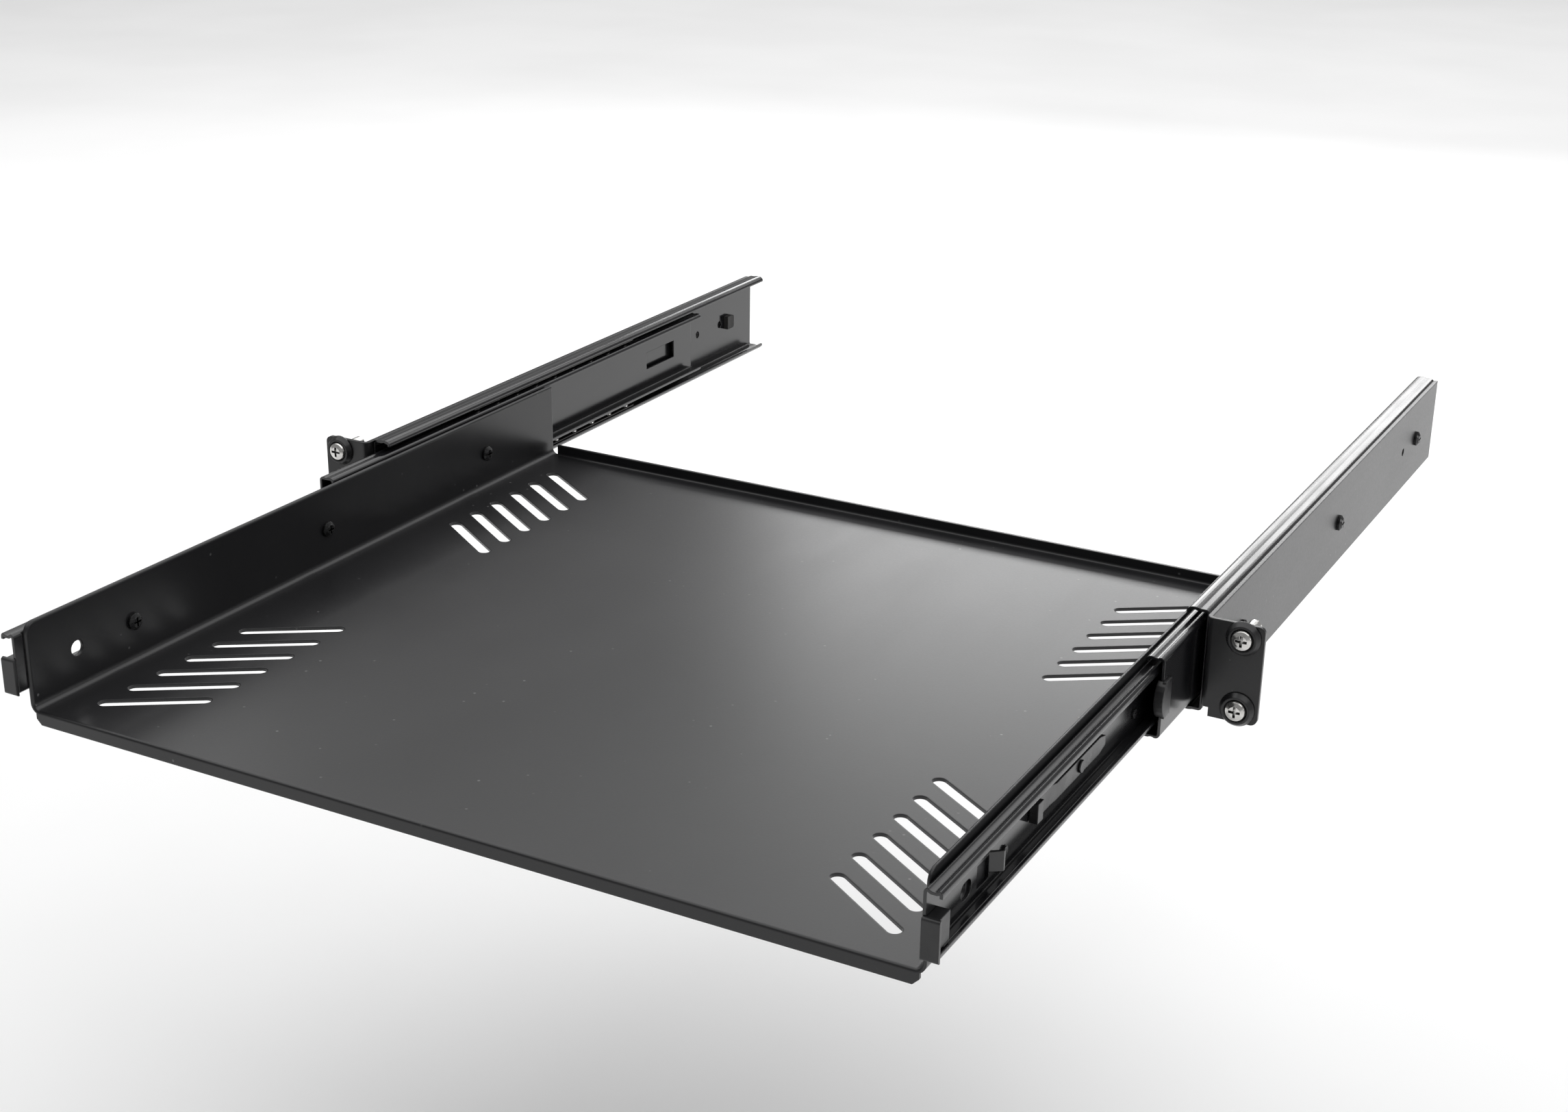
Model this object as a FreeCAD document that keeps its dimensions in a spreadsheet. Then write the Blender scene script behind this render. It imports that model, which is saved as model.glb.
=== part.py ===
"""Rack-mount sliding keyboard drawer, one rack unit high, on two-stage ball slides.

X runs across the rack, Y runs into it and Z is up, in millimetres.  The origin is the centre of
the four fixing holes, on the rear face of the two ears.  The drawer stands partly open.
"""
import FreeCAD
import Part
import Sketcher
import math
import os
import re

SIZES = {
    # rack fixing
    "hole_span": 465.1, "hole_rise": 31.75, "panel_width": 482.6, "panel_height": 44.0,
    "ear_gauge": 2.0, "side_depth": 384.0, "ear_hole": 3.4, "fold": 3.0, "corner": 3.0,
    "relief_rise": 4.0, "relief_depth": 12.0,
    # tray
    "tray_width": 407.0, "tray_depth": 382.0, "tray_gauge": 1.5, "tray_top": 16.5,
    "tray_floor": -22.0, "tray_bend": 4.5, "flange_corner": 5.0, "lip_drop": 6.0,
    "lip_inset": 2.5, "lip_corner": 2.5, "back_rise": 5.5, "back_inset": 5.5, "lip_bend": 1.2,
    "screw_level": -4.0, "screw_start": 60.0, "screw_pitch": 130.0, "peep_start": 26.7,
    # vent slots
    "slot_length": 40.5, "slot_radius": 3.0, "slot_tilt": 34.0, "slot_across": 165.3,
    "slot_pitch": 17.4, "front_slot": 31.3, "rear_slot": 253.4,
    # slides, measured outwards from the side of the tray
    "slide_width": 12.7, "slide_gauge": 1.2, "slide_length": 381.0, "middle_length": 347.0,
    "outer_half": 22.85, "middle_half": 17.7, "inner_half": 13.3, "slide_bend": 2.0,
    "outer_tip": 2.4, "middle_tip": 1.4, "inner_tip": 7.0, "middle_back": 9.7,
    "outer_lip": 2.5, "middle_lip": 2.4, "inner_lip": 3.0,
    # where each stage stands
    "outer_front": 3.0, "middle_front": -42.0, "inner_front": -247.0, "drawer_front": -242.0,
    # ball cages
    "cage_length": 155.0, "cage_gauge": 0.6, "outer_cage_front": 75.5, "inner_cage_front": -33.0,
    "outer_cage_half": 19.95, "inner_cage_half": 14.9, "outer_cage_back": 10.9,
    "inner_cage_back": 8.05, "outer_cage_tip": 3.1, "inner_cage_tip": 1.9,
    "outer_ball": 2.2, "inner_ball": 1.8, "outer_ball_at": 6.0, "inner_ball_at": 4.4,
    "track_radius": 2.8, "track_at": 3.8, "track_level": 15.0, "oval_length": 2.3,
    "ball_play": 0.15, "ball_start": 5.5, "ball_pitch": 18.0, "ball_count": 9,
    # fasteners
    "rack_neck": 3.05, "rack_shank": 2.95, "rack_reach": 14.0, "rack_head": 4.5,
    "cup_radius": 7.5, "cup_rise": 2.8,
    "small_shank": 1.95, "small_hole": 2.05, "small_head": 3.8, "small_rise": 2.3,
    "rail_screw_start": 42.0, "rail_screw_pitch": 150.0, "sight_start": 315.0,
    # release levers
    "lever_pivot": 128.0, "lever_pin": 1.45, "lever_bore": 1.5, "lever_near": 1.5,
    "lever_far": 3.1,
}

doc = FreeCAD.newDocument("SlidingKeyboardDrawer")
sheet = doc.addObject("Spreadsheet::Sheet", "Sizes")
for row, (alias, value) in enumerate(SIZES.items(), start=1):
    sheet.set(f"A{row}", alias)
    sheet.set(f"B{row}", str(value))
    sheet.setAlias(f"B{row}", alias)
doc.recompute()

SIDES = {"left": -1, "right": 1}
pieces = []


def linked(formula):
    """Point the size names in a formula at the spreadsheet."""
    return re.sub(r"[a-z]+(_[a-z]+)*", lambda name: f"Sizes.{name.group(0)}", formula)


def out(side, formula):
    """Distance across the rack, outwards from the side of the tray."""
    return f"{side} * (tray_width / 2 + {formula})"


def datum(body, role):
    return next(item for item in body.Origin.OriginFeatures if item.Role == role)


def new_body(label, y="0", z="0", x="0"):
    body = doc.addObject("PartDesign::Body", label)
    body.Label = label
    for axis, formula in zip("xyz", (x, y, z)):
        body.setExpression(f"Placement.Base.{axis}", linked(formula))
    pieces.append(body)
    return body


def new_sketch(body, plane, offset="0"):
    sketch = body.newObject("Sketcher::SketchObject", "Profile")
    sketch.AttachmentSupport = [(datum(body, plane + "_Plane"), "")]
    sketch.MapMode = "FlatFace"
    sketch.setExpression("AttachmentOffset.Base.z", linked(offset))
    return sketch


def dimension(sketch, formula, kind, *place):
    index = sketch.addConstraint(Sketcher.Constraint(kind, *place, 1.0))
    sketch.setExpression(f"Constraints[{index}]", linked(formula))


def polygon(body, plane, corners, offset="0"):
    """Sketch of a closed outline through the corners, each a pair of formulas."""
    sketch = new_sketch(body, plane, offset)
    count = len(corners)
    ring = [FreeCAD.Vector(math.cos(turn), math.sin(turn), 0)
            for turn in (2 * math.pi * i / count for i in range(count))]
    for i in range(count):
        sketch.addGeometry(Part.LineSegment(ring[i], ring[(i + 1) % count]))
    for i, (across, along) in enumerate(corners):
        sketch.addConstraint(Sketcher.Constraint("Coincident", i, 2, (i + 1) % count, 1))
        dimension(sketch, across, "DistanceX", i, 1)
        dimension(sketch, along, "DistanceY", i, 1)
    return sketch


def circles(body, plane, centres, radius):
    sketch = new_sketch(body, plane)
    for i, (across, along) in enumerate(centres):
        sketch.addGeometry(Part.Circle(FreeCAD.Vector(i, i, 0), FreeCAD.Vector(0, 0, 1), 1))
        dimension(sketch, across, "DistanceX", i, 3)
        dimension(sketch, along, "DistanceY", i, 3)
        dimension(sketch, radius, "Radius", i)
    return sketch


def rounded_slot(body, plane, across, along, length, radius, tilt="0"):
    """Sketch of a slot with round ends, turned about its own middle."""
    sketch = new_sketch(body, plane)
    sketch.setExpression("AttachmentOffset.Base.x", linked(across))
    sketch.setExpression("AttachmentOffset.Base.y", linked(along))
    sketch.setExpression("AttachmentOffset.Rotation.Yaw", linked(tilt))
    half = SIZES[length] / 2
    r = SIZES[radius]
    up = FreeCAD.Vector(0, 0, 1)
    for middle, start in ((half, -math.pi / 2), (-half, math.pi / 2)):
        round_end = Part.Circle(FreeCAD.Vector(middle, 0, 0), up, r)
        sketch.addGeometry(Part.ArcOfCircle(round_end, start, start + math.pi))
    sketch.addGeometry(Part.LineSegment(FreeCAD.Vector(half, r, 0), FreeCAD.Vector(-half, r, 0)))
    sketch.addGeometry(Part.LineSegment(FreeCAD.Vector(-half, -r, 0), FreeCAD.Vector(half, -r, 0)))
    for first, end, second, start in ((0, 2, 2, 1), (2, 2, 1, 1), (1, 2, 3, 1), (3, 2, 0, 1)):
        sketch.addConstraint(Sketcher.Constraint("Tangent", first, end, second, start))
    for index, sign in ((0, ""), (1, "-")):
        dimension(sketch, f"{sign}{length} / 2", "DistanceX", index, 3)
        dimension(sketch, "0", "DistanceY", index, 3)
    dimension(sketch, radius, "Radius", 0)
    return sketch


def extrude(body, sketch, length, kind="Pad", both=False, back=False):
    feature = body.newObject("PartDesign::" + kind, kind)
    feature.Profile = sketch
    feature.Midplane = both
    feature.Reversed = back
    if length == "all":
        feature.Type = "ThroughAll"
    else:
        feature.setExpression("Length", linked(length))
    return feature


def cut_through(body, sketch):
    return extrude(body, sketch, "all", kind="Pocket", both=True)


def revolve(body, sketch, axis):
    feature = body.newObject("PartDesign::Revolution", "Turned")
    feature.Profile = sketch
    feature.ReferenceAxis = (sketch, [axis])
    feature.Angle = 360
    return feature


def repeat(body, features, *steps):
    """Copy the features in a row, or in a grid, along the body's own axes."""
    pattern = body.newObject("PartDesign::MultiTransform", "Pattern")
    pattern.Originals = features
    body.Tip = pattern
    rows = []
    for axis, pitch, count in steps:
        row = body.newObject("PartDesign::LinearPattern", "Row")
        row.Direction = (datum(body, axis + "_Axis"), [""])
        row.setExpression("Length", linked(f"{pitch} * ({count} - 1)"))
        row.setExpression("Occurrences", linked(str(count)))
        rows.append(row)
    pattern.Transformations = rows
    body.Tip = pattern
    return pattern


def bend(body, radius, **place):
    """Round the straight edges that lie at the given coordinates."""
    doc.recompute()
    base = body.Tip
    names = []
    for number, edge in enumerate(base.Shape.Edges, start=1):
        ends = [vertex.Point for vertex in edge.Vertexes]
        if len(ends) == 2 and all(any(all(abs(getattr(end, axis) - value) < 0.01 for end in ends)
                                      for value in values) for axis, values in place.items()):
            names.append(f"Edge{number}")
    feature = body.newObject("PartDesign::Fillet", "Bend")
    feature.Base = (base, names)
    feature.setExpression("Radius", linked(radius))
    return feature


def channel(side, back, tip, half, lip, opening="in"):
    """Corners of a folded C section: web at the back, two flanges and their lips at the tip."""
    to_tip = "+" if opening == "out" else "-"
    to_back = "-" if opening == "out" else "+"
    inner_back = f"{back} {to_tip} slide_gauge"
    inner_tip = f"{tip} {to_back} slide_gauge"
    inner = f"{half} - slide_gauge"
    upper = [(back, half), (tip, half), (tip, f"{half} - {lip}"),
             (inner_tip, f"{half} - {lip}"), (inner_tip, inner), (inner_back, inner)]
    lower = [(across, f"-({rise})") for across, rise in reversed(upper)]
    return [(out(side, across), rise) for across, rise in upper + lower]


def fold_channel(body, side, back, tip, half, opening="in"):
    """Round the folds of a C section, inside and outside."""
    gauge = SIZES["slide_gauge"]
    base = SIZES["tray_width"] / 2
    to_tip = gauge if opening == "out" else -gauge
    web = SIZES.get(back, 0)
    folds = [(web, SIZES[half], "slide_bend"),
             (web + to_tip, SIZES[half] - gauge, "slide_bend - slide_gauge"),
             (SIZES[tip], SIZES[half], "slide_bend"),
             (SIZES[tip] - to_tip, SIZES[half] - gauge, "slide_bend - slide_gauge")]
    for outwards, rise, radius in folds:
        bend(body, radius, x=[side * (base + outwards)], z=[-rise, rise])


def race(body, side, across, level, radius):
    """Grooves along the outside of the upper and lower flanges, where a row of balls runs."""
    centres = [(out(side, across), f"{end} * ({level})") for end in (-1, 1)]
    cut_through(body, circles(body, "XZ", centres, radius))


def race_ridge(body, side, across, level, crest):
    """Low ridge on the far face of the upper and lower flanges, behind the groove."""
    for end in (-1, 1):
        corners = [(out(side, f"{across} + {offset}"), f"{end} * ({level} + {rise})")
                   for offset, rise in crest]
        extrude(body, polygon(body, "XZ", corners), "slide_length", back=True)


def cross_recess(body, plane, offset, arm, back):
    """Drive recess cut into a screw head."""
    long, short = arm, arm / 4.5
    corners = [(long, short), (short, short), (short, long), (-short, long), (-short, short),
               (-long, short), (-long, -short), (-short, -short), (-short, -long),
               (short, -long), (short, -short), (long, -short)]
    sketch = polygon(body, plane, [(str(a), str(b)) for a, b in corners], offset)
    return extrude(body, sketch, str(arm * 0.6), kind="Pocket", back=back)


def side_screws(body, seat, inward, reach):
    """One pan-head screw on each side, its head on the seat, driven across the rack."""
    features = []
    for side in SIDES.values():
        heading = "-" if inward else "+"
        shank = "+" if inward else "-"
        top = f"{seat} {heading} small_rise"
        outline = [(top, "0"), (top, "small_head * 0.6"),
                   (f"{seat} {heading} small_rise * 0.55", "small_head"), (seat, "small_head"),
                   (seat, "small_shank"), (f"{seat} {shank} {reach}", "small_shank"),
                   (f"{seat} {shank} {reach}", "0")]
        profile = polygon(body, "XY", [(out(side, across), rise) for across, rise in outline])
        features.append(revolve(body, profile, "H_Axis"))
        towards_plus = (side > 0) == inward
        features.append(cross_recess(body, "YZ", out(side, top), 2.1, back=towards_plus))
    return features


def ear_bracket(name, side):
    body = new_body(f"{name}_ear_bracket")
    outline = [("slide_width", "-ear_gauge"), ("(panel_width - tray_width) / 2", "-ear_gauge"),
               ("(panel_width - tray_width) / 2", "0"), ("slide_width + ear_gauge", "0"),
               ("slide_width + ear_gauge", "side_depth"), ("slide_width", "side_depth")]
    profile = polygon(body, "XY", [(out(side, across), along) for across, along in outline])
    extrude(body, profile, "panel_height", both=True)
    inside = SIZES["tray_width"] / 2 + SIZES["slide_width"]
    half_height = SIZES["panel_height"] / 2
    bend(body, "fold", x=[side * inside], y=[-SIZES["ear_gauge"]])
    bend(body, "fold - ear_gauge", x=[side * (inside + SIZES["ear_gauge"])], y=[0])
    bend(body, "corner", x=[side * SIZES["panel_width"] / 2], z=[-half_height, half_height])
    relief = [("slide_width - 1", "-panel_height"), ("slide_width + fold + 1", "-panel_height"),
              ("slide_width + fold + 1", "relief_rise - panel_height / 2"),
              ("slide_width - 1", "relief_rise - panel_height / 2")]
    sketch = polygon(body, "XZ", [(out(side, across), rise) for across, rise in relief], "fold")
    extrude(body, sketch, "relief_depth", kind="Pocket")
    holes = [(f"{side} * hole_span / 2", f"{end} * hole_rise / 2") for end in (-1, 1)]
    cut_through(body, circles(body, "XZ", holes, "ear_hole"))
    rail_holes = [(f"outer_front + rail_screw_start + {i} * rail_screw_pitch", "0")
                  for i in range(3)]
    cut_through(body, circles(body, "YZ", rail_holes, "small_hole"))
    sight = [("outer_front + sight_start", "0")]
    cut_through(body, circles(body, "YZ", sight, "small_hole"))


def outer_rail(name, side):
    body = new_body(f"{name}_outer_rail", y="outer_front")
    section = channel(side, "slide_width", "outer_tip", "outer_half", "outer_lip")
    extrude(body, polygon(body, "XZ", section), "slide_length", back=True)
    fold_channel(body, side, "slide_width", "outer_tip", "outer_half")
    crest = [(-2.4, -0.3), (-2.4, 0), (-1.6, 0.25), (-0.6, 0.4), (0.6, 0.4), (1.6, 0.25),
             (2.4, 0), (2.4, -0.3)]
    race_ridge(body, side, "outer_ball_at", "outer_half", crest)
    race(body, side, "outer_ball_at", "outer_cage_half - cage_gauge / 2", "outer_ball + ball_play")
    holes = [(f"rail_screw_start + {i} * rail_screw_pitch", "0") for i in range(3)]
    cut_through(body, circles(body, "YZ", holes + [("sight_start", "0")], "small_hole"))


def middle_rail(name, side):
    body = new_body(f"{name}_middle_rail", y="middle_front")
    section = channel(side, "middle_back", "middle_tip", "middle_half", "middle_lip")
    extrude(body, polygon(body, "XZ", section), "middle_length", back=True)
    fold_channel(body, side, "middle_back", "middle_tip", "middle_half")
    race(body, side, "outer_ball_at", "outer_cage_half - cage_gauge / 2", "outer_ball + ball_play")
    window = [("middle_length - 51", "-5"), ("middle_length - 20", "-5"),
              ("middle_length - 20", "5"), ("middle_length - 51", "5")]
    cut_through(body, polygon(body, "YZ", window))


def inner_rail(name, side):
    body = new_body(f"{name}_inner_rail", y="inner_front")
    section = channel(side, "0", "inner_tip", "inner_half", "inner_lip", opening="out")
    extrude(body, polygon(body, "XZ", section), "slide_length", back=True)
    fold_channel(body, side, "0", "inner_tip", "inner_half", opening="out")
    crest = [(-2.9, 0.2), (-2.1, -0.5), (-1.2, -0.95), (1, -0.95), (2, -0.6), (2.1, 0.2)]
    race_ridge(body, side, "track_at", "inner_half - slide_gauge", crest)
    race(body, side, "track_at", "track_level", "track_radius")
    set_back = "drawer_front - inner_front"
    tab = [("slide_gauge", "52"), ("inner_tip - 1.6", "55.5"), ("inner_tip - 1.6", "56.7"),
           ("slide_gauge / 2", "53.2")]
    corners = [(out(side, across), along) for across, along in tab]
    extrude(body, polygon(body, "XY", corners, "-2.5"), "8", both=True)
    window = [("42", "-8.5"), ("52", "-8.5"), ("52", "0.5"), ("42", "0.5")]
    cut_through(body, polygon(body, "YZ", window))
    oval = rounded_slot(body, "YZ", f"{set_back} + peep_start + 1", "screw_level", "oval_length",
                        "ear_hole")
    cut_through(body, oval)
    holes = [(f"{set_back} + screw_start + {i} * screw_pitch", "screw_level") for i in range(3)]
    cut_through(body, circles(body, "YZ", holes, "small_hole"))


def tray():
    body = new_body("tray", y="drawer_front")
    floor_under = "tray_floor - tray_gauge"
    section = [("tray_width / 2", "tray_top"), ("tray_width / 2", floor_under),
               ("-tray_width / 2", floor_under), ("-tray_width / 2", "tray_top"),
               ("tray_gauge - tray_width / 2", "tray_top"),
               ("tray_gauge - tray_width / 2", "tray_floor"),
               ("tray_width / 2 - tray_gauge", "tray_floor"),
               ("tray_width / 2 - tray_gauge", "tray_top")]
    extrude(body, polygon(body, "XZ", section), "tray_depth", back=True)
    half = SIZES["tray_width"] / 2
    gauge = SIZES["tray_gauge"]
    floor = SIZES["tray_floor"]
    bend(body, "tray_bend", x=[-half, half], z=[floor - gauge])
    bend(body, "tray_bend - tray_gauge", x=[gauge - half, half - gauge], z=[floor])
    bend(body, "flange_corner", y=[0], z=[SIZES["tray_top"]])
    lip = [("tray_width / 2 - lip_inset", f"{floor_under} + 0.4"),
           ("tray_width / 2 - lip_inset", "tray_floor - lip_drop + lip_corner"),
           ("tray_width / 2 - lip_inset - lip_corner", "tray_floor - lip_drop"),
           ("lip_inset + lip_corner - tray_width / 2", "tray_floor - lip_drop"),
           ("lip_inset - tray_width / 2", "tray_floor - lip_drop + lip_corner"),
           ("lip_inset - tray_width / 2", f"{floor_under} + 0.4")]
    extrude(body, polygon(body, "XZ", lip), "tray_gauge", back=True)
    back = [("tray_width / 2 - back_inset", floor_under),
            ("back_inset - tray_width / 2", floor_under),
            ("back_inset - tray_width / 2", "tray_floor + back_rise"),
            ("tray_width / 2 - back_inset", "tray_floor + back_rise")]
    extrude(body, polygon(body, "XZ", back, "tray_gauge - tray_depth"), "tray_gauge", back=True)
    bend(body, "lip_bend", y=[0], z=[floor])
    bend(body, "lip_bend", y=[SIZES["tray_depth"]], z=[floor - gauge])
    bend(body, "lip_bend", y=[SIZES["tray_depth"] - gauge], z=[floor])
    rows = []
    for side in SIDES.values():
        for start, turn in (("front_slot", -side), ("rear_slot", side)):
            slot = rounded_slot(body, "XY", f"{side} * slot_across", start, "slot_length",
                                "slot_radius", f"{turn} * slot_tilt")
            rows.append(cut_through(body, slot))
    repeat(body, rows, ("Y", "slot_pitch", 6))
    holes = [(f"screw_start + {i} * screw_pitch", "screw_level") for i in range(3)]
    cut_through(body, circles(body, "YZ", holes, "small_hole"))
    cut_through(body, circles(body, "YZ", [("peep_start", "screw_level")], "ear_hole"))


def cage_and_balls(name, side, stage):
    """Strip that spaces the balls between two rails, and the balls it carries."""
    front = f"{stage}_cage_front"
    body = new_body(f"{name}_{stage}_cage", y=front)
    back, tip, half = f"{stage}_cage_back", f"{stage}_cage_tip", f"{stage}_cage_half"
    upper = [(back, half), (tip, half), (tip, f"{half} - cage_gauge"),
             (f"{back} - cage_gauge", f"{half} - cage_gauge")]
    lower = [(across, f"-({rise})") for across, rise in reversed(upper)]
    section = [(out(side, across), rise) for across, rise in upper + lower]
    extrude(body, polygon(body, "XZ", section), "cage_length", back=True)
    centre = [(out(side, f"{stage}_ball_at"), "ball_start")]
    pockets = cut_through(body, circles(body, "XY", centre, f"{stage}_ball + ball_play"))
    repeat(body, [pockets], ("Y", "ball_pitch", "ball_count"))

    body = new_body(f"{name}_{stage}_balls", x=out(side, f"{stage}_ball_at"),
                    y=f"{front} + ball_start")
    rows = []
    for end in (-1, 1):
        ball = body.newObject("PartDesign::AdditiveSphere", "Ball")
        ball.AttachmentSupport = [(datum(body, "XY_Plane"), "")]
        ball.MapMode = "FlatFace"
        ball.setExpression("Radius", linked(f"{stage}_ball"))
        ball.setExpression("AttachmentOffset.Base.z", linked(f"{end} * ({half} - cage_gauge / 2)"))
        rows.append(ball)
    repeat(body, rows, ("Y", "ball_pitch", "ball_count"))


def rack_fasteners():
    place = {"x": "-hole_span / 2", "z": "-hole_rise / 2"}
    grid = [("X", "hole_span", 2), ("Z", "hole_rise", 2)]
    face = "ear_gauge + cup_rise"
    body = new_body("rack_screws", **place)
    outline = [("0", f"-({face} + 1.6)"), ("rack_head * 0.55", f"-({face} + 1.4)"),
               ("rack_head * 0.9", f"-({face} + 0.7)"), ("rack_head", f"-({face} - 0.2)"),
               ("rack_neck", f"-({face} - 1.9)"), ("rack_shank", "0"),
               ("rack_shank", "rack_reach - 1"), ("rack_shank - 0.8", "rack_reach"),
               ("0", "rack_reach")]
    screw = revolve(body, polygon(body, "XY", outline), "V_Axis")
    recess = cross_recess(body, "XZ", f"{face} + 1.6", 2.5, back=False)
    repeat(body, [screw, recess], *grid)

    body = new_body("cup_washers", **place)
    outline = [("rack_neck + 0.1", "-ear_gauge"), ("cup_radius", "-ear_gauge"),
               ("cup_radius", "-(ear_gauge + 0.6)"), ("cup_radius - 1.5", f"-({face})"),
               ("rack_head + 0.6", f"-({face})"), ("rack_neck + 0.1", f"-({face} - 2.1)")]
    cup = revolve(body, polygon(body, "XY", outline), "V_Axis")
    repeat(body, [cup], *grid)


def slide_fasteners():
    body = new_body("rail_screws", y="outer_front + rail_screw_start")
    screws = side_screws(body, "slide_width + ear_gauge", False, "ear_gauge + slide_gauge")
    repeat(body, screws, ("Y", "rail_screw_pitch", 3))
    body = new_body("tray_screws", y="drawer_front + screw_start", z="screw_level")
    screws = side_screws(body, "-tray_gauge", True, "tray_gauge + slide_gauge + 1")
    repeat(body, screws, ("Y", "screw_pitch", 3))


def block(body, side, near, far, front, rear, low, high):
    """Box between two distances out from the tray, two depths and two heights."""
    outline = [(front, low), (rear, low), (rear, high), (front, high)]
    middle = out(side, f"({near} + {far}) / 2")
    return extrude(body, polygon(body, "YZ", outline, middle), f"{far} - ({near})", both=True)


def stops_and_bumpers():
    body = new_body("rear_stops", y="outer_front")
    for side in SIDES.values():
        block(body, side, "slide_width - slide_gauge - 3", "slide_width - slide_gauge",
              "middle_length + 0.5", "middle_length + 8", "-4", "4")
    bend(body, "1.5", y=[SIZES["middle_length"] + 8], z=[-4, 4])
    body = new_body("front_bumpers", y="inner_front")
    for side in SIDES.values():
        block(body, side, "slide_gauge", "inner_tip - 1", "-1.5", "9", "-9.5", "2")
        block(body, side, "0.2", "inner_tip", "-1.5", "0", "-13.8", "2.6")
    bend(body, "1.2", y=[-1.5], z=[-13.8, 2.6])
    for name, side in SIDES.items():
        body = new_body(f"{name}_middle_bumper", y="middle_front")
        block(body, side, "middle_back", "middle_back + 1.4", "-1", "6", "-8", "8")
        arch = [(-8, 0), (-6.4, -1.9), (-4.4, -3.2), (-2.2, -3.9), (0, -4.1), (2.2, -3.9),
                (4.4, -3.2), (6.4, -1.9), (8, 0)]
        outline = [(str(along), str(rise)) for rise, along in arch]
        middle = out(side, "(inner_tip + middle_back + 1.7) / 2")
        extrude(body, polygon(body, "YZ", outline, middle), "middle_back + 1.1 - inner_tip",
                both=True)


def release_levers():
    for name, side in SIDES.items():
        body = new_body(f"{name}_release_lever", y="drawer_front + lever_pivot")
        outline = [("-46", "-3"), ("-30", "-3"), ("-24", "-3.5"), ("20", "-3.5"), ("26", "-2"),
                   ("26", "2"), ("20", "3.5"), ("-24", "3.5"), ("-30", "5"), ("-46", "5")]
        middle = out(side, "(lever_near + lever_far) / 2")
        profile = polygon(body, "YZ", outline, middle)
        extrude(body, profile, "lever_far - lever_near", both=True)
        block(body, side, "lever_far", "lever_far + 1.8", "-46", "-41", "-3", "5")
        cut_through(body, circles(body, "YZ", [("0", "0")], "lever_bore"))
    body = new_body("lever_pins", y="drawer_front + lever_pivot")
    for side in SIDES.values():
        outline = [("slide_gauge", "0"), ("slide_gauge", "lever_pin"),
                   ("lever_far + 0.3", "lever_pin"), ("lever_far + 0.3", "lever_pin + 1.2"),
                   ("lever_far + 0.9", "lever_pin + 1"), ("lever_far + 0.9", "0")]
        profile = polygon(body, "XY", [(out(side, across), rise) for across, rise in outline])
        revolve(body, profile, "H_Axis")


for name, side in SIDES.items():
    ear_bracket(name, side)
    outer_rail(name, side)
    middle_rail(name, side)
    inner_rail(name, side)
    for stage in ("outer", "inner"):
        cage_and_balls(name, side, stage)
tray()
rack_fasteners()
slide_fasteners()
stops_and_bumpers()
release_levers()
doc.recompute()

for item in doc.Objects:
    if any(word in ("Invalid", "Error") for word in item.State):
        raise RuntimeError(f"{item.Label} did not build")
os.makedirs("parts", exist_ok=True)
for piece in pieces:
    if piece.Shape.isNull() or not piece.Shape.isValid():
        raise RuntimeError(f"{piece.Label} has no valid shape")
    piece.Shape.exportStep(f"parts/{piece.Label}.step")
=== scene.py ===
"""Looks of the sliding keyboard drawer: powder-coated tray and ears, black slides, bright screws.

Every material is procedural and fixed to its piece, in metres, so it moves with the piece.
"""

import math

import bpy
from mathutils import Matrix, Vector

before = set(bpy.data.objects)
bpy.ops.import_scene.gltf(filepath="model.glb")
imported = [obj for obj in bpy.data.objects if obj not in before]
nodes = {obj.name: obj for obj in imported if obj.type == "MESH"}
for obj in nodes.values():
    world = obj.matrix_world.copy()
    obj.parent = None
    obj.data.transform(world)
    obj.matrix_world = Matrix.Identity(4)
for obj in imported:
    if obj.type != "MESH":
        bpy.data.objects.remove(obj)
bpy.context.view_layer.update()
scene = bpy.context.scene


# ---------------------------------------------------------------- node helpers

SHADER_SAMPLES = 6

def new_material(name):
    """A material, its node tree and its shader, which is wired to the output."""
    mat = bpy.data.materials.new(name)
    mat.use_nodes = True
    tree = mat.node_tree
    tree.nodes.clear()
    shader = tree.nodes.new("ShaderNodeBsdfPrincipled")
    output = tree.nodes.new("ShaderNodeOutputMaterial")
    tree.links.new(shader.outputs["BSDF"], output.inputs["Surface"])
    return mat, tree, shader


def add(tree, kind, **properties):
    """A node with some of its properties set."""
    node = tree.nodes.new(kind)
    for key, value in properties.items():
        setattr(node, key, value)
    return node


def noise(tree, coords, scale, detail, stretch=(1, 1, 1)):
    """Noise in the piece's own metres, drawn out along an axis where stretch is under 1."""
    mapping = add(tree, "ShaderNodeMapping")
    mapping.inputs["Scale"].default_value = stretch
    tree.links.new(coords, mapping.inputs["Vector"])
    node = add(tree, "ShaderNodeTexNoise")
    node.inputs["Scale"].default_value = scale
    node.inputs["Detail"].default_value = detail
    tree.links.new(mapping.outputs["Vector"], node.inputs["Vector"])
    return node.outputs["Fac"]


def ramp(tree, fac, low, high, start=0.35, stop=0.65):
    """A value between low and high as fac goes from start to stop."""
    node = add(tree, "ShaderNodeMapRange")
    node.inputs["From Min"].default_value = start
    node.inputs["From Max"].default_value = stop
    node.inputs["To Min"].default_value = low
    node.inputs["To Max"].default_value = high
    tree.links.new(fac, node.inputs["Value"])
    return node.outputs["Result"]


def blend(tree, fac, a, b):
    """A colour between a and b by fac; either may be a socket."""
    node = add(tree, "ShaderNodeMix", data_type="RGBA")
    tree.links.new(fac, node.inputs[0])
    for socket, value in ((node.inputs[6], a), (node.inputs[7], b)):
        if isinstance(value, bpy.types.NodeSocket):
            tree.links.new(value, socket)
        else:
            socket.default_value = (*value, 1)
    return node.outputs[2]


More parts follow.
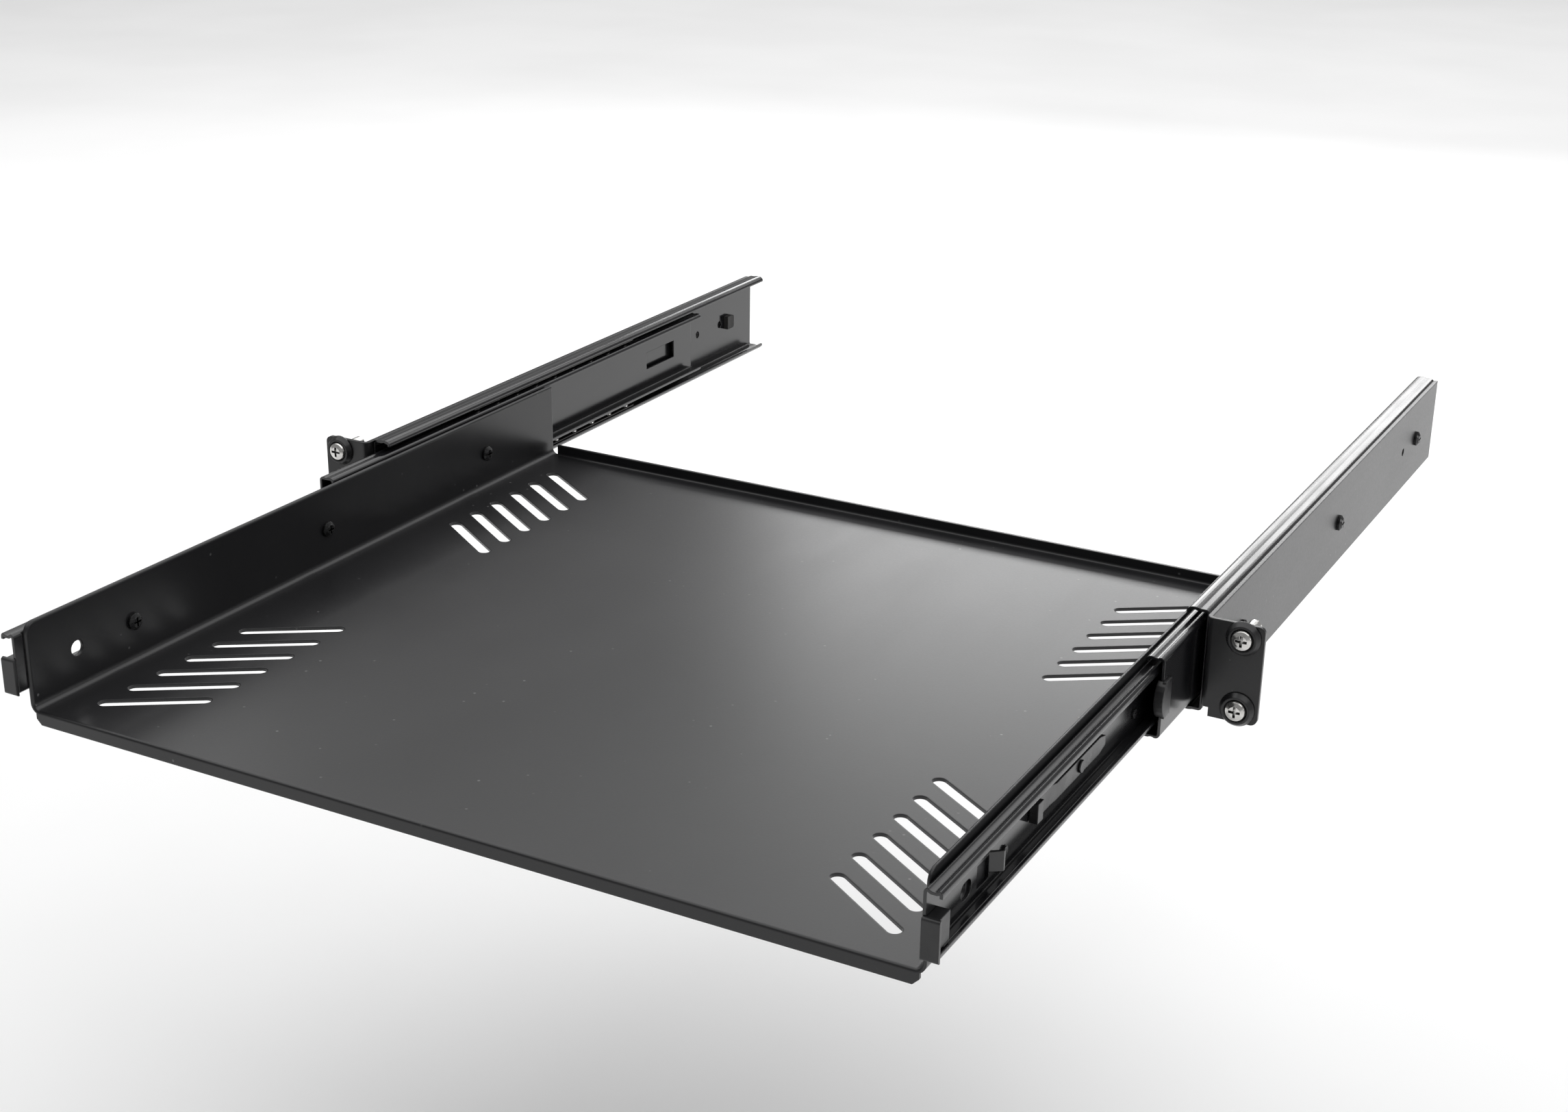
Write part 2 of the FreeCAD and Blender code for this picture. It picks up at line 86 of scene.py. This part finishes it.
def total(tree, a, b, operation="ADD"):
    """Two sockets put together."""
    node = add(tree, "ShaderNodeMath", operation=operation)
    tree.links.new(a, node.inputs[0])
    tree.links.new(b, node.inputs[1])
    return node.outputs[0]


def bump(tree, shader, height, distance, strength, below):
    """A bump on the shader's normal, on top of another normal."""
    node = add(tree, "ShaderNodeBump")
    node.inputs["Strength"].default_value = strength
    node.inputs["Distance"].default_value = distance
    tree.links.new(height, node.inputs["Height"])
    tree.links.new(below, node.inputs["Normal"])
    tree.links.new(node.outputs["Normal"], shader.inputs["Normal"])
    return node.outputs["Normal"]


def soft_edge(tree, radius):
    """The normal with sheared edges slightly rounded, so that they catch the light."""
    bevel = add(tree, "ShaderNodeBevel", samples=SHADER_SAMPLES)
    bevel.inputs["Radius"].default_value = radius
    return bevel.outputs["Normal"]


def painted_recess_shade(tree, distance, low, high):
    """1 in the open and 0 deep in a recess, the mask for painted shade."""
    node = add(tree, "ShaderNodeAmbientOcclusion", samples=SHADER_SAMPLES)
    node.inputs["Distance"].default_value = distance
    return ramp(tree, node.outputs["AO"], 0, 1, low, high)


def specks(tree, coords, scale, size):
    """Sparse round specks, such as settled dust."""
    node = add(tree, "ShaderNodeTexVoronoi")
    node.inputs["Scale"].default_value = scale
    tree.links.new(coords, node.inputs["Vector"])
    return ramp(tree, node.outputs["Distance"], 1, 0, size * 0.5, size)


def object_coords(tree):
    """Coordinates in metres, fixed to the piece."""
    return add(tree, "ShaderNodeTexCoord").outputs["Object"]


# ---------------------------------------------------------------- materials

def powder_coat():
    """Satin black powder coat: fine orange peel, faint mottling, rubbed patches and dust."""
    mat, tree, shader = new_material("powder_coat_black")
    at = object_coords(tree)
    peel = noise(tree, at, 900, 3)
    fine = noise(tree, at, 3200, 2)
    cloud = noise(tree, at, 14, 4)
    scuff = noise(tree, at, 60, 5, (1, 0.15, 1))
    patches = noise(tree, at, 25, 2)
    tone = blend(tree, ramp(tree, cloud, 0, 1), (0.0065, 0.0065, 0.0075), (0.0105, 0.0105, 0.0115))
    coat = blend(tree, ramp(tree, fine, 0, 0.35, 0.58, 0.72), tone, (0.024, 0.024, 0.026))
    settled = ramp(tree, patches, 0, 0.5, 0.5, 0.62)
    dust = total(tree, specks(tree, at, 120, 0.09), settled, "MULTIPLY")
    tree.links.new(blend(tree, dust, coat, (0.22, 0.22, 0.22)), shader.inputs["Base Color"])
    sheen = total(tree, ramp(tree, cloud, 0.275, 0.29), ramp(tree, scuff, 0, 0.015, 0.45, 0.75))
    tree.links.new(total(tree, sheen, ramp(tree, peel, 0, 0.03)), shader.inputs["Roughness"])
    shader.inputs["IOR"].default_value = 1.5
    first = bump(tree, shader, peel, 0.00003, 0.3, soft_edge(tree, 0.0008))
    bump(tree, shader, fine, 0.000012, 0.25, first)
    return mat


def slide_steel():
    """Gloss black electrocoat on slide steel: drawn along the rail, with a thin film of grease."""
    mat, tree, shader = new_material("slide_steel_black")
    at = object_coords(tree)
    drawn = noise(tree, at, 1600, 3, (1, 0.012, 1))
    cloud = noise(tree, at, 30, 4, (1, 0.3, 1))
    film = noise(tree, at, 220, 4, (1, 0.1, 1))
    tone = blend(tree, ramp(tree, cloud, 0, 1), (0.005, 0.005, 0.006), (0.009, 0.009, 0.010))
    tree.links.new(tone, shader.inputs["Base Color"])
    sheen = total(tree, ramp(tree, cloud, 0.13, 0.20), ramp(tree, film, 0, 0.05))
    tree.links.new(sheen, shader.inputs["Roughness"])
    shader.inputs["IOR"].default_value = 1.62
    first = bump(tree, shader, drawn, 0.00001, 0.1, soft_edge(tree, 0.0005))
    bump(tree, shader, cloud, 0.0003, 0.1, first)
    return mat


def small_part(name, cloud, tones, grain, gloss, relief, spread=(0.35, 0.65), clouded_gloss=False,
               metallic=0.0, recess=None):
    """The finish of a small part: a clouded tone, a varied gloss and a fine grain.

    cloud and grain are noises (scale, detail and stretch), and gloss is the range of roughness,
    which follows the grain or the cloud.  relief is the grain's depth and strength and the radius
    of the edges.  recess is the distance, range and tone of the painted shade deep in recesses.
    """
    mat, tree, shader = new_material(name)
    at = object_coords(tree)
    clouds = noise(tree, at, *cloud)
    grains = noise(tree, at, *grain)
    tone = blend(tree, ramp(tree, clouds, 0, 1, *spread), *tones)
    if recess:
        distance, low, high, recess_shade_tone = recess
        # Painted shade: the tone goes darker deep in recesses, found by ambient occlusion.
        tone = blend(tree, painted_recess_shade(tree, distance, low, high), recess_shade_tone, tone)
    tree.links.new(tone, shader.inputs["Base Color"])
    shader.inputs["Metallic"].default_value = metallic
    rough = ramp(tree, clouds if clouded_gloss else grains, *gloss)
    tree.links.new(rough, shader.inputs["Roughness"])
    if relief:
        depth, strength, edge = relief
        bump(tree, shader, grains, depth, strength, soft_edge(tree, edge))
    return mat


def cage_strip():
    """Dark phosphated strip of the ball cages."""
    return small_part("cage_strip_dark", (60, 4, (1, 0.3, 1)),
                      ((0.035, 0.035, 0.037), (0.075, 0.073, 0.070)),
                      (1200, 4), (0.34, 0.5), (0.00002, 0.3, 0.0002), metallic=0.85)


def ball_steel():
    """Ground bearing steel under a film of grease."""
    return small_part("ball_steel_bright", (700, 4), ((0.62, 0.62, 0.63), (0.45, 0.44, 0.41)),
                      (700, 4), (0.10, 0.24), None, metallic=1.0)


def bright_screw():
    """Nickel-plated screw: bright, with fine tumbling marks and painted shade in the drive recess.
    """
    return small_part("bright_screw_nickel", (350, 4), ((0.78, 0.77, 0.75), (0.60, 0.59, 0.57)),
                      (2600, 4), (0.14, 0.26), (0.00003, 0.3, 0.0003), metallic=1.0,
                      recess=(0.0022, 0.3, 0.75, (0.03, 0.03, 0.03)))


def cup_plastic():
    """Moulded black nylon of the cup washers: soft gloss, faint skin texture."""
    return small_part("cup_plastic_black", (120, 4),
                      ((0.008, 0.008, 0.009), (0.014, 0.014, 0.015)),
                      (2200, 3), (0.24, 0.34), (0.00003, 0.25, 0.0006), clouded_gloss=True)


def black_screw():
    """Black-oxide screw: dark, slightly metallic, worn lighter in places, with painted shade in
    the drive recess.
    """
    return small_part("black_screw_oxide", (420, 4), ((0.014, 0.014, 0.015), (0.06, 0.06, 0.06)),
                      (2400, 4), (0.20, 0.34), (0.00003, 0.3, 0.0003), spread=(0.45, 0.8),
                      metallic=0.55, recess=(0.0015, 0.2, 0.9, (0.003, 0.003, 0.003)))


def stop_rubber():
    """Matt black rubber of the rear stops, lightly dusty."""
    return small_part("stop_rubber_black", (90, 5),
                      ((0.012, 0.012, 0.012), (0.028, 0.027, 0.026)),
                      (1500, 5), (0.6, 0.8), (0.00008, 0.4, 0.0006))


def bumper_plastic():
    """Moulded black acetal of the bumpers and levers: spark-eroded texture with a waxy gloss."""
    return small_part("bumper_plastic_black", (90, 4),
                      ((0.010, 0.010, 0.0105), (0.020, 0.020, 0.021)),
                      (2600, 3), (0.26, 0.40), (0.00004, 0.35, 0.0006), clouded_gloss=True)


MATERIALS = {
    "powder_coat": powder_coat(), "slide_steel": slide_steel(), "cage_strip": cage_strip(),
    "ball_steel": ball_steel(), "bright_screw": bright_screw(), "cup_plastic": cup_plastic(),
    "black_screw": black_screw(), "stop_rubber": stop_rubber(), "bumper_plastic": bumper_plastic(),
}

FINISH = {
    "tray": "powder_coat", "ear_bracket": "powder_coat", "outer_rail": "slide_steel",
    "middle_rail": "slide_steel", "inner_rail": "slide_steel", "cage": "cage_strip",
    "balls": "ball_steel", "rack_screws": "bright_screw", "cup_washers": "cup_plastic",
    "rail_screws": "black_screw", "tray_screws": "black_screw", "rear_stops": "stop_rubber",
    "bumper": "bumper_plastic", "lever": "bumper_plastic", "lever_pins": "black_screw",
}


def finish_of(name):
    """The material of a CAD node, by the longest key that its name holds."""
    keys = [key for key in FINISH if key in name]
    return MATERIALS[FINISH[max(keys, key=len)]]


for name, node in nodes.items():
    node.data.materials.clear()
    node.data.materials.append(finish_of(name))


# ---------------------------------------------------------------- room, light and camera

FLOOR_Z = -0.3
FLOOR_REACH = 6
WORLD_STRENGTH = 0.3

# name, place, target, width and height, watts
SOFT_BOXES = (
    ("top", (0.0, 1.5, 3.2), (0.0, 1.5, 0.0), (7.5, 7.5), 225),
    ("rear", (-0.34, 2.4, 0.80), (0.0, 0.1, 0.0), (1.75, 0.46), 14),
    ("left", (-2.1, 1.3, 0.95), (-0.1, 0.0, 0.0), (0.9, 0.7), 2.5),
    ("right", (2.4, 0.9, 0.5), (-0.1, 0.0, 0.0), (0.8, 0.6), 8),
)


def studio_paper():
    """Plain pale paper of the floor."""
    mat, tree, shader = new_material("studio_paper")
    cloud = ramp(tree, noise(tree, object_coords(tree), 3, 3), 0, 1)
    tone = blend(tree, cloud, (0.90, 0.90, 0.90), (0.93, 0.93, 0.93))
    tree.links.new(tone, shader.inputs["Base Color"])
    shader.inputs["Roughness"].default_value = 0.9
    shader.inputs["Specular IOR Level"].default_value = 0.1
    return mat


def studio_floor():
    """A flat sheet of paper, well below the part, which hangs on its ears."""
    mesh = bpy.data.meshes.new("studio_floor")
    corners = [(x * FLOOR_REACH, y * FLOOR_REACH, FLOOR_Z)
               for x, y in ((-1, -1), (1, -1), (1, 1), (-1, 1))]
    mesh.from_pydata(corners, [], [(0, 1, 2, 3)])
    mesh.materials.append(studio_paper())
    thing = bpy.data.objects.new("studio_floor", mesh)
    scene.collection.objects.link(thing)


def studio_world():
    """Even white light from all round."""
    world = bpy.data.worlds.new("studio")
    scene.world = world
    world.use_nodes = True
    background = world.node_tree.nodes["Background"]
    background.inputs["Color"].default_value = (1, 1, 1, 1)
    background.inputs["Strength"].default_value = WORLD_STRENGTH


def soft_box(name, place, target, size, power):
    """A rectangular area light that faces a point."""
    data = bpy.data.lights.new(name, "AREA")
    data.shape = "RECTANGLE"
    data.size, data.size_y = size
    data.energy = power
    lamp = bpy.data.objects.new(name, data)
    lamp.location = place
    aim = (Vector(target) - Vector(place)).to_track_quat("-Z", "Y")
    lamp.rotation_euler = aim.to_euler()
    scene.collection.objects.link(lamp)


CAMERA_PLACE = (0.4694, -0.8442, 0.3845)
CAMERA_TURN_DEG = (28.146, 21.442, 0.898)  # azimuth, elevation, roll
CAMERA_LENS_MM = 52.243
CAMERA_FILM_MM = 36.0
CAMERA_REACH = 50


def photo_camera():
    """The camera at the photograph's viewing angle."""
    azimuth, elevation, roll = (math.radians(angle) for angle in CAMERA_TURN_DEG)
    back = Vector((
        math.sin(azimuth) * math.cos(elevation),
        -math.cos(azimuth) * math.cos(elevation),
        math.sin(elevation),
    ))
    level = (-back).cross(Vector((0, 0, 1))).normalized()
    upright = level.cross(-back)
    right = math.cos(roll) * level + math.sin(roll) * upright
    up = -math.sin(roll) * level + math.cos(roll) * upright
    data = bpy.data.cameras.new("camera")
    data.sensor_width = CAMERA_FILM_MM
    data.lens = CAMERA_LENS_MM
    data.clip_end = CAMERA_REACH
    turn = Matrix((right, up, back)).transposed().to_4x4()
    camera = bpy.data.objects.new("camera", data)
    camera.matrix_world = Matrix.Translation(CAMERA_PLACE) @ turn
    scene.collection.objects.link(camera)
    scene.camera = camera


studio_floor()
studio_world()
for box in SOFT_BOXES:
    soft_box(*box)
photo_camera()
scene.view_settings.view_transform = "Standard"
